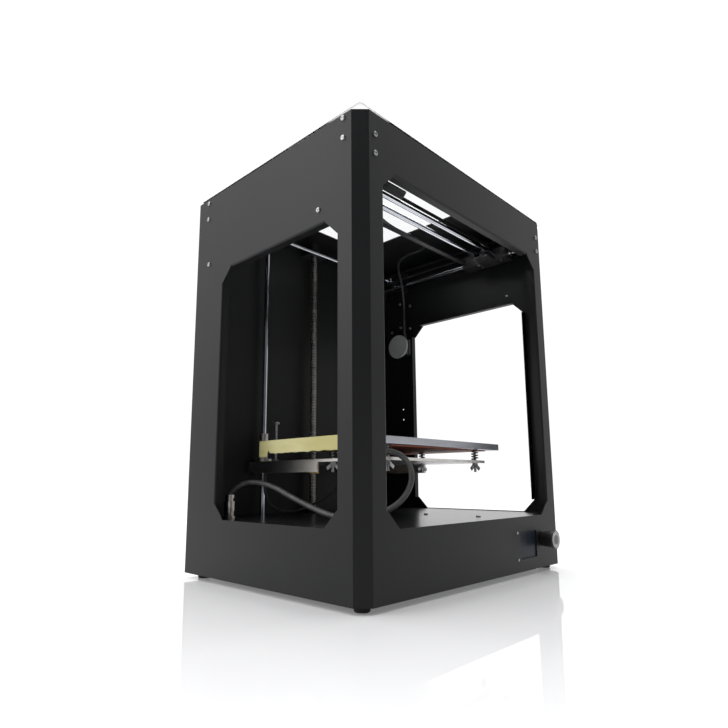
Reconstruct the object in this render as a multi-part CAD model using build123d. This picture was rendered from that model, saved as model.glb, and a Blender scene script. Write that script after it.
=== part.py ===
"""Enclosed desktop filament printer: sheet-steel case, cantilever bed, belt-driven gantry.

Millimetres.  +X is to the right of someone facing the front, the front faces -Y, +Z is up.
The model is drawn about the middle of the case, and every part is moved by CASE_SHIFT_Y when it is
written, so that the origin is the bottom centre of the whole object's bounding box.
"""

import os
from math import radians, tan

from build123d import *

os.makedirs("parts", exist_ok=True)

# Case
FOOT_H = 7.0
CASE_W = 462.0
CASE_D = 356.0
CASE_H = 569.0
SHEET = 1.5
CHAMFER = 15.0
BEND_R = 3.0
FLANGE = 12.0
LID_T = 3.0
KNOB_PROUD = 22.0
REAR_PROUD = 2.0
CASE_SHIFT_Y = (KNOB_PROUD - REAR_PROUD) / 2

HALF_W = CASE_W / 2
HALF_D = CASE_D / 2
IN_X = HALF_W - SHEET
IN_Y = HALF_D - SHEET
BOTTOM = FOOT_H
TOP = FOOT_H + CASE_H
CEILING = TOP - SHEET
DECK = 84.0
DECK_UNDER = DECK - SHEET
BASE_FLOOR = BOTTOM + SHEET

# Openings
SIDE_WINDOW = (-138.0, 105.0, 85.0, 447.0)
FRONT_WINDOW = (-191.0, 191.0, DECK, 508.0)
WINDOW_CUT = 20.0
TOP_OPENING = (166.0, 226.0)
SCREEN = (99.5, 148.5, 24.4, 62.4)
KNOB_AT = (167.4, 48.5)
KNOB_R = 13.8
KNOB_NECK_R = 12.6
KNOB_BASE_R = 10.8
INLET_AT = (-150.0, 45.0)
INLET_SIZE = (48.0, 56.0)

# Z drive and bed
ROD_R = 4.0
Z_ROD_X = 107.7
Z_AXIS_Y = 161.4
SCREW_R = 6.0
SCREW_LEAD = 5.0
SCREW_Z = (40.0, 556.0)
Z_MOTOR_Y = 95.0
BELT_R = 6.37
BELT_W = 6.0
BELT_T = 1.4
BED_TOP = 195.0
BED_T = 10.0
BED_X = 166.5
BED_Y = (-112.0, 94.0)
TRAY_Z = (163.5, 167.5)
LEVEL_X = 105.0
LEVEL_Y = (-104.0, 0.0)

# Gantry
Y_ROD_X = 198.0
Y_ROD_Z = 532.0
X_ROD_Y = (-111.8, -87.2)
X_ROD_Z = 530.0
X_ROD_END = 189.5
TIE_Y = -51.0
X_BELT_Y = sum(X_ROD_Y) / 2
X_BELT_Z = 544.5
X_MOTOR_X = -166.0
X_IDLER_X = 170.0
X_MOTOR_SIZE = 28.0
X_MOTOR_Z = 552.0
CARRIAGE_Y = (-134.0, -47.5)
CARRIAGE_X = (178.0, 206.0)
CARRIAGE_Z = (520.0, 539.5)
Y_BELT_X = 186.0
SHAFT_Y = 140.0
SHAFT_Z = 548.0
SHAFT_R = 3.0
Y_IDLER_Y = -156.0

# Print head
HEAD_X = (-157.0, -128.0)
HEAD_Y = (-121.0, -62.0)
HEAD_Z = (520.5, 539.5)
HEAD_TAB_X = (-81.0, -69.0)
NOZZLE_X = -144.0
NOZZLE_TIP = 481.0

# Feeder
FEEDER_Y = 125.5
FEEDER_Z = 406.0
FEEDER_DISC_R = 24.0

RUN_CLEAR = 0.05


def write(node, *shapes):
    """Write one node as a group of separate solids in the object's frame."""
    solids = [solid for shape in shapes for solid in shape.solids()]
    export_step(Pos(0, CASE_SHIFT_Y, 0) * Compound(children=solids), f"parts/{node}.step")


def block(x, y, z):
    """Box between the low and high value given for each axis."""
    size = [abs(high - low) for low, high in (x, y, z)]
    middle = [(low + high) / 2 for low, high in (x, y, z)]
    return Pos(*middle) * Box(*size)


TURN = {"x": Rot(0, 90, 0), "y": Rot(-90, 0, 0), "z": Rot(0, 0, 0)}


def bar(axis, at, length, radius):
    """Cylinder that starts at a point and runs along +axis."""
    shape = Cylinder(radius, length, align=(Align.CENTER, Align.CENTER, Align.MIN))
    return Pos(*at) * TURN[axis] * shape


def tube(axis, at, length, radius, bore):
    """Ring that starts at a point and runs along +axis."""
    return bar(axis, at, length, radius) - bar(axis, at, length, bore)


def plan(inset):
    """Outline of the case seen from above, moved inwards, with its two cut front corners."""
    x, y = HALF_W - inset, HALF_D - inset
    cut = CHAMFER - inset * (2 - 2**0.5)
    points = [(-x, cut - y), (cut - x, -y), (x - cut, -y), (x, cut - y), (x, y), (-x, y)]
    return Polyline(*points, close=True)


def plate(inset, low, high):
    """Flat sheet with the case's outline."""
    return Pos(0, 0, low) * extrude(make_face(plan(inset)), high - low)


def panel_plane(side):
    """Plane of a case wall, with its normal outwards and its second axis up."""
    places = {
        "left": ((-HALF_W, 0, 0), (0, -1, 0), (-1, 0, 0)),
        "right": ((HALF_W, 0, 0), (0, 1, 0), (1, 0, 0)),
        "front": ((0, -HALF_D, 0), (1, 0, 0), (0, -1, 0)),
        "back": ((0, HALF_D, 0), (-1, 0, 0), (0, 1, 0)),
    }
    origin, across, normal = places[side]
    return Plane(origin=origin, x_dir=across, z_dir=normal).location


def cut_corner_face(u, v, cut):
    """Rectangle with its four corners cut off at 45 degrees."""
    u0, u1 = u
    v0, v1 = v
    points = [
        (u0 + cut, v0), (u1 - cut, v0), (u1, v0 + cut), (u1, v1 - cut),
        (u1 - cut, v1), (u0 + cut, v1), (u0, v1 - cut), (u0, v0 + cut),
    ]
    return make_face(Polyline(*points, close=True))


def flange_strip(length, depth):
    """Lip folded inwards along one edge of a window, bent to BEND_R."""
    ring = Pos(BEND_R, -BEND_R) * (Circle(BEND_R) - Circle(BEND_R - SHEET))
    corner = ring & (Pos(BEND_R / 2, -BEND_R / 2) * Rectangle(BEND_R, BEND_R))
    lip = Pos(SHEET / 2, -(BEND_R + depth) / 2) * Rectangle(SHEET, depth - BEND_R)
    return Rot(90, 0, 0) * extrude(corner + lip, length / 2, both=True)


def window(u, v, cut, sides):
    """Cutter and folded lips of a window with cut corners, in the panel's own plane."""
    across, tall = u[1] - u[0] - 2 * cut, v[1] - v[0] - 2 * cut
    mid_u, mid_v = sum(u) / 2, sum(v) / 2
    edges = {"e": (0, tall, u[1], mid_v), "w": (180, tall, u[0], mid_v),
             "n": (90, across, mid_u, v[1]), "s": (270, across, mid_u, v[0])}
    cutter = Pos(0, 0, -3 * SHEET) * extrude(cut_corner_face(u, v, cut), 6 * SHEET)
    lips = []
    for side in sides:
        angle, length, at_u, at_v = edges[side]
        place = Pos(at_u, at_v, 0) * Rot(0, 0, angle)
        cutter += place * Pos(BEND_R / 2, 0, 0) * Box(BEND_R, length, 6 * SHEET)
        lips.append(place * flange_strip(length, FLANGE))
    return cutter, lips


SCREW_SHANK = 1.9

# Places of the wall screws, as (distance along the wall, height)
SIDE_SCREWS = [(-149.3, 570.4), (-149.3, 544.5), (150.6, 568.9), (150.6, 542.5),
               (144.4, 466.5), (-105.9, 466.8)]
FRONT_SCREWS = [(side * 205.4, height) for side in (-1, 1) for height in (547.9, 523.3)]
BACK_SCREWS = [(side * 215.0, height) for side in (-1, 1) for height in (40.0, 300.0, 560.0)]
SCREEN_SCREWS = [(91.5, 62.0), (91.5, 24.5)]
SCREW_PLACES = {
    "left": [(-y, z) for y, z in SIDE_SCREWS],
    "right": SIDE_SCREWS,
    "front": FRONT_SCREWS,
    "back": BACK_SCREWS,
}
# Screws with their heads inside: on the right wall as (depth, height), on the deck as (x, depth)
WALL_SCREWS = [(144.1, 507.3), (117.4, 497.7), (143.5, 455.6), (118.6, 449.8), (166.7, 448.6),
               (115.2, 165.5)]
WALL_HOLES = [(139.9, 281.0), (139.9, 260.0)]
DECK_SCREWS = [(60.8, -39.0), (65.7, -130.7)]


def button_screw(length):
    """Low round head with a hexagon socket, on a plain shank, its seat at height 0."""
    head = Cylinder(3.5, 2.0, align=(Align.CENTER, Align.CENTER, Align.MIN))
    head = fillet(head.edges().group_by(Axis.Z)[-1], 1.4)
    socket = Pos(0, 0, 1.0) * extrude(RegularPolygon(1.15, 6), 2)
    shank = Pos(0, 0, -length) * Cylinder(1.5, length, align=(Align.CENTER, Align.CENTER, Align.MIN))
    return head - socket + shank


def small_screw(length):
    """Flat round head on a thin shank, its seat at height 0."""
    head = Cylinder(2.0, 1.0, align=(Align.CENTER, Align.CENTER, Align.MIN))
    head = chamfer(head.edges().group_by(Axis.Z)[-1], 0.4)
    return head + Pos(0, 0, -length / 2) * Cylinder(1.0, length)


def screw_holes(side):
    """Cutters for the wall screws of one side."""
    places = list(SCREW_PLACES[side])
    if side == "right":
        places += WALL_SCREWS + WALL_HOLES
    holes = [Pos(u, v, -SHEET / 2) * Cylinder(1.6, 3 * SHEET) for u, v in places]
    if side == "front":
        holes += [Pos(u, v, -SHEET / 2) * Cylinder(1.1, 3 * SHEET) for u, v in SCREEN_SCREWS]
    return panel_plane(side) * Compound(children=holes)


def all_screws():
    """Every screw of the case: outer heads on the walls, inner heads on the right wall and deck."""
    screws = []
    for side, places in SCREW_PLACES.items():
        for u, v in places:
            screws.append(panel_plane(side) * Pos(u, v, 0) * button_screw(SCREW_SHANK))
    for u, v in SCREEN_SCREWS:
        screws.append(panel_plane("front") * Pos(u, v, 0) * small_screw(SCREW_SHANK))
    for y, z in WALL_SCREWS:
        screws.append(Pos(IN_X, y, z) * Rot(0, -90, 0) * button_screw(SCREW_SHANK))
    for x, y in DECK_SCREWS:
        screws.append(Pos(x, y, DECK) * button_screw(SCREW_SHANK))
    return screws


def side_panel(side):
    """Flat side wall with its lipped window."""
    y0, y1, z0, z1 = SIDE_WINDOW
    u = (y0, y1) if side == "right" else (-y1, -y0)
    cutter, lips = window(u, (z0, z1), WINDOW_CUT, "new")
    x = (IN_X, HALF_W) if side == "right" else (-HALF_W, -IN_X)
    wall = block(x, (CHAMFER - HALF_D, HALF_D), (BOTTOM, TOP))
    wall -= panel_plane(side) * cutter
    for lip in lips:
        wall += panel_plane(side) * lip
    return wall - screw_holes(side)


def front_panel():
    """Front wall and its two slanting corner strips, folded from one sheet."""
    y_corner = CHAMFER - HALF_D
    outer = make_face(plan(0)) - make_face(plan(SHEET))
    outer &= Pos(0, (y_corner - HALF_D) / 2) * Rectangle(2 * CASE_W, CHAMFER)
    wall = Pos(0, 0, BOTTOM) * extrude(outer, CASE_H)
    x0, x1, z0, z1 = FRONT_WINDOW
    cutter, lips = window((x0, x1), (z0, z1), WINDOW_CUT, "new")
    wall -= panel_plane("front") * cutter
    for lip in lips:
        wall += panel_plane("front") * lip
    s0, s1, t0, t1 = SCREEN
    wall -= block((s0, s1), (-HALF_D - 1, -IN_Y + 1), (t0, t1))
    wall -= bar("y", (KNOB_AT[0], -HALF_D - 1, KNOB_AT[1]), 4, 4.0)
    return wall - screw_holes("front")


def back_panel():
    """Closed rear wall with the cut-out for the power inlet and a row of vents."""
    wall = block((-IN_X, IN_X), (IN_Y, HALF_D), (BOTTOM, TOP))
    x, z = INLET_AT
    half_x, half_z = INLET_SIZE[0] / 2 - 3, INLET_SIZE[1] / 2 - 3
    wall -= block((x - half_x, x + half_x), (IN_Y - 1, HALF_D + 1), (z - half_z, z + half_z))
    for column in range(10):
        left = 60.0 + 10.0 * column
        wall -= block((left, left + 5.0), (IN_Y - 1, HALF_D + 1), (25.0, 65.0))
    return wall - screw_holes("back")


def top_plate():
    """Roof sheet with its large opening."""
    roof = plate(SHEET + 0.1, CEILING, TOP)
    hole = extrude(RectangleRounded(*TOP_OPENING, 4.0), 4 * SHEET)
    return roof - Pos(0, 0, CEILING - SHEET) * hole


def deck_plate():
    """Floor of the build chamber, with holes for rods, screw, cables and fixings."""
    deck = plate(SHEET + 0.1, DECK_UNDER, DECK)
    for x in (-Z_ROD_X, Z_ROD_X):
        deck -= bar("z", (x, Z_AXIS_Y, DECK - 5), 10, ROD_R + RUN_CLEAR)
    deck -= bar("z", (0, Z_AXIS_Y, DECK - 5), 10, 9.0)
    for x, y in PLUG_PLACES:
        deck -= bar("z", (x, y, DECK - 5), 10, 6.0)
    for x, y in DECK_SCREWS:
        deck -= bar("z", (x, y, DECK - 5), 10, 1.6)
    return deck


def base_plate():
    """Bottom sheet, with vent slots under the electronics."""
    base = plate(SHEET + 0.1, BOTTOM, BASE_FLOOR)
    for row in range(8):
        y = -60.0 + 12.0 * row
        base -= block((40.0, 110.0), (y, y + 5.0), (BOTTOM - 1, BASE_FLOOR + 1))
    return base


def rubber_feet():
    """Four squat feet under the corners."""
    places = [(x, y) for x in (-211.0, 211.0) for y in (-157.0, 157.0)]
    feet = []
    for x, y in places:
        foot = bar("z", (x, y, 0), FOOT_H, 9.0)
        feet.append(chamfer(foot.edges().group_by(Axis.Z)[0], 1.2))
    return feet


def clear_lid():
    """Loose acrylic sheet that covers the whole roof, with rounded corners."""
    sheet = extrude(RectangleRounded(CASE_W, CASE_D, 6.0), LID_T)
    return Pos(0, 0, TOP) * fillet(sheet.edges().group_by(Axis.Z)[-1], 0.8)


def control_screen():
    """Display behind its opening, its circuit board and the body of the rotary encoder."""
    s0, s1, t0, t1 = SCREEN
    y = -IN_Y
    glass = block((s0 - 4, s1 + 4), (y + 0.1, y + 3.1), (t0 - 5, t1 + 5))
    board = block((s0 - 10, 190.0), (y + 5.2, y + 6.8), (16.0, 72.0))
    frame = block((s0 - 4, s1 + 4), (y + 3.1, y + 5.2), (t0 - 5, t1 + 5))
    x, z = KNOB_AT
    body = block((x - 6, x + 6), (y + 0.2, y + 5.2), (z - 6.5, z + 6.5))
    body -= bar("y", (x, y - 1, z), 3.5, 3.3) + bar("y", (x, y + 1.5, z), 3.0, 5.4)
    return [glass, frame, board, body]


def encoder_rotor():
    """Slotted disc inside the encoder, which turns with the knob while its shaft slides through."""
    x, z = KNOB_AT
    return tube("y", (x, -IN_Y + 1.8, z), 2.4, 5.2, 3.0)


def control_knob():
    """Tapered dial with a wider rounded rim at its face, and the shaft it is pressed on."""
    x, z = KNOB_AT
    front = -HALF_D - KNOB_PROUD
    rim = bar("y", (x, front, z), 3.5, KNOB_R)
    rim = fillet(rim.edges().group_by(Axis.Y)[0], 1.0)
    length = KNOB_PROUD - 1.5
    body = Pos(x, front + length / 2, z) * Rot(90, 0, 0) * Cone(KNOB_BASE_R, KNOB_NECK_R, length)
    knob = rim + body - bar("y", (x, front + 8, z), 20, 3.0)
    shaft = bar("y", (x, front + 8.1, z), KNOB_PROUD - 8.1 + 4.5, 2.95)
    return [knob, shaft]


def mainboard():
    """Controller board on pillars, with its driver heat sinks, capacitor and terminals."""
    board = block((40.0, 170.0), (-55.0, 45.0), (18.0, 19.6))
    pillars = [bar("z", (x, y, BASE_FLOOR), 18.0 - BASE_FLOOR, 3.0)
               for x in (45.0, 165.0) for y in (-50.0, 40.0)]
    sinks = []
    for index in range(5):
        x = 60.0 + 20.0 * index
        body = block((x, x + 10), (-20.0, -10.0), (19.6, 28.0))
        for cut in range(3):
            left = x + 1.6 + 2.8 * cut
            body -= block((left, left + 1.2), (-21.0, -9.0), (22.0, 29.0))
        sinks.append(body)
    cap = bar("z", (150.0, 20.0, 19.6), 16.0, 6.0)
    terminals = block((60.0, 130.0), (28.0, 40.0), (19.6, 31.0))
    return [board, *pillars, *sinks, cap, terminals]


def power_supply():
    """Switched supply in a vented metal case."""
    body = block((-205.0, -100.0), (-150.0, 50.0), (BASE_FLOOR, 58.0))
    for column in range(12):
        y = -140.0 + 14.0 * column
        body -= block((-190.0, -115.0), (y, y + 5.0), (56.0, 59.0))
    return body


def power_inlet():
    """Mains inlet and the housing of the rocker switch, in one moulded flange."""
    x, z = INLET_AT
    wide, tall = INLET_SIZE
    flange = block((x - wide / 2, x + wide / 2), (HALF_D, HALF_D + REAR_PROUD), (z - tall / 2, z + tall / 2))
    body = block((x - wide / 2 + 4, x + wide / 2 - 4), (IN_Y - 26, HALF_D), (z - tall / 2 + 4, z + tall / 2 - 4))
    body += flange
    body -= block((x - 13.5, x + 13.5), (IN_Y - 16, HALF_D + 3), (z - 22, z - 2))
    body -= block((x - 14, x + 14), (IN_Y - 12, HALF_D + 3), (z + 4, z + 21))
    pins = [block((x + p - 1, x + p + 1), (IN_Y - 16, HALF_D - 3), (z - 14, z - 10)) for p in (-7, 0, 7)]
    return [body, *pins]


def power_rocker():
    """Rocker that tips in the switch housing, about a pin along Z."""
    x, z = INLET_AT
    back = HALF_D - 4.0
    rocker = bar("z", (x, back, z + 5.0), 15.0, 3.0)
    paddle = block((x - 11.5, x + 11.5), (back, back + 4.0), (z + 5.0, z + 20.0))
    paddle -= Pos(x, back + 12.2, z + 12.5) * Cylinder(9.0, 20.0)
    return rocker + paddle


def motor(size, length):
    """Stepper motor with its mounting face at height 0 and its body below."""
    body = Pos(0, 0, -length / 2) * Box(size, size, length)
    body = chamfer(body.edges().filter_by(Axis.Z), size * 0.09)
    spread = size * 0.369
    for x in (-spread, spread):
        for y in (-spread, spread):
            body -= Pos(x, y, 0) * Cylinder(1.5, 9.0)
    boss = Cylinder(size * 0.26, 1.6, align=(Align.CENTER, Align.CENTER, Align.MIN))
    body += boss
    return body - Cylinder(3.0, 16.0)


def pulley(bore):
    """Toothed belt pulley centred on its belt, with two flanges and a hub below."""
    drum = Cylinder(6.0, 7.0)
    for place in PolarLocations(6.15, 20):
        drum -= place * Cylinder(0.5, 7.0)
    for z in (-4.0, 4.0):
        drum += Pos(0, 0, z) * Cylinder(8.0, 1.0)
    drum += Pos(0, 0, -7.5) * Cylinder(7.0, 6.0)
    return drum - Cylinder(bore, 30.0)


def belt(span):
    """Closed toothed belt round two equal pulleys, its plane level, its middle at the origin."""
    outer = SlotCenterToCenter(span, 2 * BELT_R + BELT_T)
    inner = SlotCenterToCenter(span, 2 * BELT_R)
    return extrude(outer - inner, BELT_W / 2, both=True)


def z_motor():
    """Motor that stands on the base and drives the screw by a belt."""
    return Pos(0, Z_MOTOR_Y, 50.0) * motor(42.3, 50.0 - BASE_FLOOR)


Z_BELT_Z = 68.0


def z_motor_pulley():
    """Spindle and pulley of the Z motor."""
    wheel = Pos(0, Z_MOTOR_Y, Z_BELT_Z) * pulley(2.52)
    spindle = bar("z", (0, Z_MOTOR_Y, 44.0), 28.0, 2.5)
    return [wheel, spindle]


def lead_screw():
    """Screw with a square-section thread cut as rings, and the pulley on its lower end."""
    low, high = SCREW_Z
    core = bar("z", (0, Z_AXIS_Y, low), high - low, 3.9)
    threaded = (94.0, 548.0)
    ridge = make_face(Polyline((3.8, 0), (SCREW_R, 0.9), (SCREW_R, 2.6), (3.8, 3.5), close=True))
    turn = revolve(Rot(90, 0, 0) * ridge, Axis.Z)
    count = int((threaded[1] - threaded[0]) / SCREW_LEAD)
    rings = [Pos(0, Z_AXIS_Y, threaded[0] + SCREW_LEAD * index) * turn for index in range(count)]
    screw = core.fuse(*rings)
    wheel = Pos(0, Z_AXIS_Y, Z_BELT_Z) * pulley(3.92)
    return [screw, wheel]


def guide_rods():
    """Two upright rods for the bed and two level rods for the gantry."""
    rods = [bar("z", (x, Z_AXIS_Y, BASE_FLOOR), CEILING - BASE_FLOOR, ROD_R) for x in (-Z_ROD_X, Z_ROD_X)]
    rods += [bar("y", (x, -IN_Y, Y_ROD_Z), 2 * IN_Y, ROD_R) for x in (-Y_ROD_X, Y_ROD_X)]
    return rods


def rod_clamps():
    """Flanged blocks that hold the rod ends."""
    clamps = []
    for x in (-Z_ROD_X, Z_ROD_X):
        for low in (BASE_FLOOR, CEILING - 12.0):
            body = block((x - 14, x + 14), (Z_AXIS_Y - 14, IN_Y), (low, low + 12.0))
            clamps.append(body - bar("z", (x, Z_AXIS_Y, low - 1), 14, ROD_R))
    for x in (-Y_ROD_X, Y_ROD_X):
        for low in (-IN_Y, IN_Y - 12.0):
            body = block((x - 12, x + 12), (low, low + 12.0), (516.0, 555.0))
            body -= bar("y", (x, low - 1, Y_ROD_Z), 14, ROD_R)
            for u, v in FRONT_SCREWS:
                body -= bar("y", (u, -HALF_D, v), 4.0, 1.6)
            clamps.append(body)
    return clamps


def shaft_supports():
    """Bearings of the screw and of the cross shaft, with their brackets."""
    foot = bar("z", (0, Z_AXIS_Y, DECK), 4.0, 14.0) + bar("z", (0, Z_AXIS_Y, DECK), 8.0, 9.5)
    foot -= bar("z", (0, Z_AXIS_Y, DECK - 1), 12, 3.9 + RUN_CLEAR)
    head = block((-20, 20), (Z_AXIS_Y - 9, IN_Y), (550.0, 555.0))
    head += block((-8, 8), (Z_AXIS_Y - 4, Z_AXIS_Y + 4), (555.0, CEILING))
    head -= bar("z", (0, Z_AXIS_Y, 545.0), 16.0, 3.9 + RUN_CLEAR)
    blocks = []
    for side in (-1, 1):
        x = sorted((side * 150.0, side * 158.0))
        body = block(x, (SHAFT_Y - 9, SHAFT_Y + 9), (SHAFT_Z - 9, CEILING))
        blocks.append(body - bar("x", (x[0] - 1, SHAFT_Y, SHAFT_Z), 10, SHAFT_R + RUN_CLEAR))
    for side in (-1, 1):
        x = sorted((side * 175.0, side * 179.0))
        body = block(x, (-IN_Y, Y_IDLER_Y + 8), (SHAFT_Z - 8, CEILING))
        blocks.append(body - bar("x", (x[0] - 1, Y_IDLER_Y, SHAFT_Z), 10, SHAFT_R + RUN_CLEAR))
    return [foot, head, *blocks]


def drive_belts():
    """Belt of the screw and the two side belts of the gantry."""
    screw_belt = Pos(0, (Z_MOTOR_Y + Z_AXIS_Y) / 2, Z_BELT_Z) * Rot(0, 0, 90) * belt(Z_AXIS_Y - Z_MOTOR_Y)
    middle = (SHAFT_Y + Y_IDLER_Y) / 2
    side_belt = Rot(0, 90, 0) * Rot(0, 0, 90) * belt(SHAFT_Y - Y_IDLER_Y)
    sides = [Pos(x, middle, SHAFT_Z) * side_belt for x in (-Y_BELT_X, Y_BELT_X)]
    return [screw_belt, *sides]


Y_MOTOR_FACE = 206.6


def y_motor():
    """Thin motor in line with the cross shaft."""
    return Pos(Y_MOTOR_FACE, SHAFT_Y, SHAFT_Z) * Rot(0, -90, 0) * motor(42.3, IN_X - Y_MOTOR_FACE - 1.0)


def cross_shaft():
    """Rear shaft with a pulley for each side belt."""
    shaft = bar("x", (-197.0, SHAFT_Y, SHAFT_Z), Y_MOTOR_FACE + 5 + 197.0, SHAFT_R - 0.05)
    wheels = [Pos(x, SHAFT_Y, SHAFT_Z) * Rot(0, turn, 0) * pulley(SHAFT_R - 0.04)
              for x, turn in ((-Y_BELT_X, 90), (Y_BELT_X, -90))]
    return [shaft, *wheels]


def front_idlers():
    """Front return pulleys of the side belts and their common pin each."""
    parts = []
    for side, turn in ((-1, 90), (1, -90)):
        parts.append(Pos(side * Y_BELT_X, Y_IDLER_Y, SHAFT_Z) * Rot(0, turn, 0) * pulley(SHAFT_R))
        start = min(side * 174.5, side * 197.0)
        parts.append(bar("x", (start, Y_IDLER_Y, SHAFT_Z), 22.5, SHAFT_R - 0.02))
    return parts


def side_carriage(side):
    """Block that slides on a side rod and holds one end of each cross rod."""
    x = sorted(side * value for value in CARRIAGE_X)
    body = block(x, CARRIAGE_Y, CARRIAGE_Z)
    rod = side * Y_ROD_X
    body -= bar("y", (rod, CARRIAGE_Y[0] - 1, Y_ROD_Z), 110, 5.0)
    for y in (CARRIAGE_Y[0], CARRIAGE_Y[1] - 24.0):
        body -= bar("y", (rod, y - 0.01, Y_ROD_Z), 24.02, 7.5)
    for y in X_ROD_Y:
        start = min(side * 177.0, side * X_ROD_END)
        body -= bar("x", (start, y, X_ROD_Z), X_ROD_END - 177.0, ROD_R)
    clamp_x = sorted((side * (Y_BELT_X - 5), side * (Y_BELT_X + 5)))
    clamp = block(clamp_x, (-75.0, -60.0), (CARRIAGE_Z[1], CARRIAGE_Z[1] + 5.0))
    low_run = SHAFT_Z - BELT_R
    slot_x = (side * Y_BELT_X - 3.6, side * Y_BELT_X + 3.6)
    clamp -= block(slot_x, (-80.0, -50.0), (low_run - 1.2, low_run + 0.6))
    return body + clamp


def right_carriage():
    """Right side carriage with the shelf and pin seat of the X idler."""
    low = CARRIAGE_Z[0]
    shelf = block((156.0, CARRIAGE_X[0]), (X_BELT_Y - 14, X_BELT_Y + 14), (low, low + 4.0))
    shelf += bar("z", (X_IDLER_X, X_BELT_Y, low), 13.0, 5.0)
    return side_carriage(1) + shelf - bar("z", (X_IDLER_X, X_BELT_Y, 515), 25, 2.5 + RUN_CLEAR)


def left_carriage():
    """Left side carriage with the raised bracket that the X motor stands on."""
    half = X_MOTOR_SIZE / 2
    y = (X_BELT_Y - half, X_BELT_Y + half)
    wall = block((-181.0, -178.0), y, (CARRIAGE_Z[1] - 3.0, X_MOTOR_Z))
    shelf = block((-181.0, X_MOTOR_X + half), y, (X_MOTOR_Z - 2.5, X_MOTOR_Z))
    shelf -= bar("z", (X_MOTOR_X, X_BELT_Y, X_MOTOR_Z - 5), 10.0, 7.5)
    return side_carriage(-1) + wall + shelf


def x_guide_rods():
    """Two rods that carry the print head."""
    return [bar("x", (-X_ROD_END, y, X_ROD_Z), 2 * X_ROD_END, ROD_R) for y in X_ROD_Y]


def gantry_tie_bar():
    """Flat bar that joins the two side carriages."""
    return block((-CARRIAGE_X[0], CARRIAGE_X[0]), (TIE_Y - 4.5, TIE_Y + 4.5), (528.5, 531.5))


def y_bearings():
    """Linear bearings pressed into the side carriages."""
    rings = []
    for x in (-Y_ROD_X, Y_ROD_X):
        for y in (CARRIAGE_Y[0], CARRIAGE_Y[1] - 24.0):
            rings.append(tube("y", (x, y, Y_ROD_Z), 24.0, 7.5, ROD_R + RUN_CLEAR))
    return rings


def x_motor():
    """Small flat motor above the left carriage, its spindle down."""
    return Pos(X_MOTOR_X, X_BELT_Y, X_MOTOR_Z) * Rot(180, 0, 0) * motor(X_MOTOR_SIZE, 20.0)


def x_drive_pulley():
    """Spindle and pulley of the X motor."""
    wheel = Pos(X_MOTOR_X, X_BELT_Y, X_BELT_Z) * pulley(2.52)
    return [wheel, bar("z", (X_MOTOR_X, X_BELT_Y, 538.0), X_MOTOR_Z + 6.0 - 538.0, 2.5)]


def x_idler_pulley():
    """Return pulley of the X belt on its pin."""
    wheel = Pos(X_IDLER_X, X_BELT_Y, X_BELT_Z) * pulley(2.52)
    return [wheel, bar("z", (X_IDLER_X, X_BELT_Y, 521.0), 29.0, 2.5)]


def x_belt():
    """Belt of the print head."""
    return Pos((X_MOTOR_X + X_IDLER_X) / 2, X_BELT_Y, X_BELT_Z) * belt(X_IDLER_X - X_MOTOR_X)


def x_carriage():
    """Print head body on the two cross rods, with the belt clamp and a flat tab on top."""
    body = block(HEAD_X, HEAD_Y, HEAD_Z)
    body = chamfer(body.edges().filter_by(Axis.Z), 1.2)
    low, high = HEAD_X[0] + 4.0, HEAD_X[1] - 4.0
    for y in X_ROD_Y:
        body -= bar("x", (HEAD_X[0] - 1, y, X_ROD_Z), 40, 5.0)
        body -= bar("x", (low, y, X_ROD_Z), high - low, 7.5)
    body -= bar("z", (NOZZLE_X, X_BELT_Y, 510), 40, 3.0)
    clamp = block(HEAD_X, (HEAD_Y[0], -103.5), (HEAD_Z[1], HEAD_Z[1] + 9.0))
    front_run = X_BELT_Y - BELT_R - BELT_T / 2
    clamp -= block((HEAD_X[0] - 1, HEAD_X[1] + 1), (front_run - 1.2, -95.0), (X_BELT_Z - 3.6, X_BELT_Z + 6))
    near, far = HEAD_TAB_X
    outline = [(HEAD_X[0], -125.0), (near, -125.0), (far, -107.7), (HEAD_X[0], -107.7)]
    tab = Pos(0, 0, HEAD_Z[1] + 0.5) * extrude(make_face(Polyline(*outline, close=True)), 2.5)
    return body + clamp + tab


def x_bearings():
    """Linear bearings pressed into the print head body."""
    length = HEAD_X[1] - HEAD_X[0] - 8.0
    return [tube("x", (HEAD_X[0] + 4.0, y, X_ROD_Z), length, 7.5, ROD_R + RUN_CLEAR) for y in X_ROD_Y]


def heat_sink():
    """Finned cooler with its threaded throat, under the print head body."""
    axis = (NOZZLE_X, X_BELT_Y)
    stem = bar("z", (*axis, 497.0), HEAD_Z[0] - 497.0, 4.5)
    for index in range(8):
        stem += bar("z", (*axis, 499.0 + 2.6 * index), 1.2, 11.0)
    throat = bar("z", (*axis, 494.0), 3.0, 2.0)
    inlet = bar("z", (*axis, HEAD_Z[0]), HEAD_Z[1] - HEAD_Z[0] + 2.0, 2.9)
    return stem + throat + inlet


def heater_block():
    """Heater block with its cartridge and the brass nozzle."""
    x, y = NOZZLE_X, X_BELT_Y
    body = block((x - 8, x + 12), (y - 8, y + 8), (485.5, 494.0))
    cone = Pos(x, y, NOZZLE_TIP + 1.0) * Cone(0.8, 3.0, 2.0)
    hexagon = Pos(x, y, NOZZLE_TIP + 2.0) * extrude(RegularPolygon(3.5, 6), 2.5)
    cartridge = bar("y", (x + 8, y - 11, 489.7), 19, 1.5)
    return [body + cartridge, cone + hexagon]


HEAD_FAN_Y = -71.0
FAN_FRAME = 30.0
FAN_Z = 505.0


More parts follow.
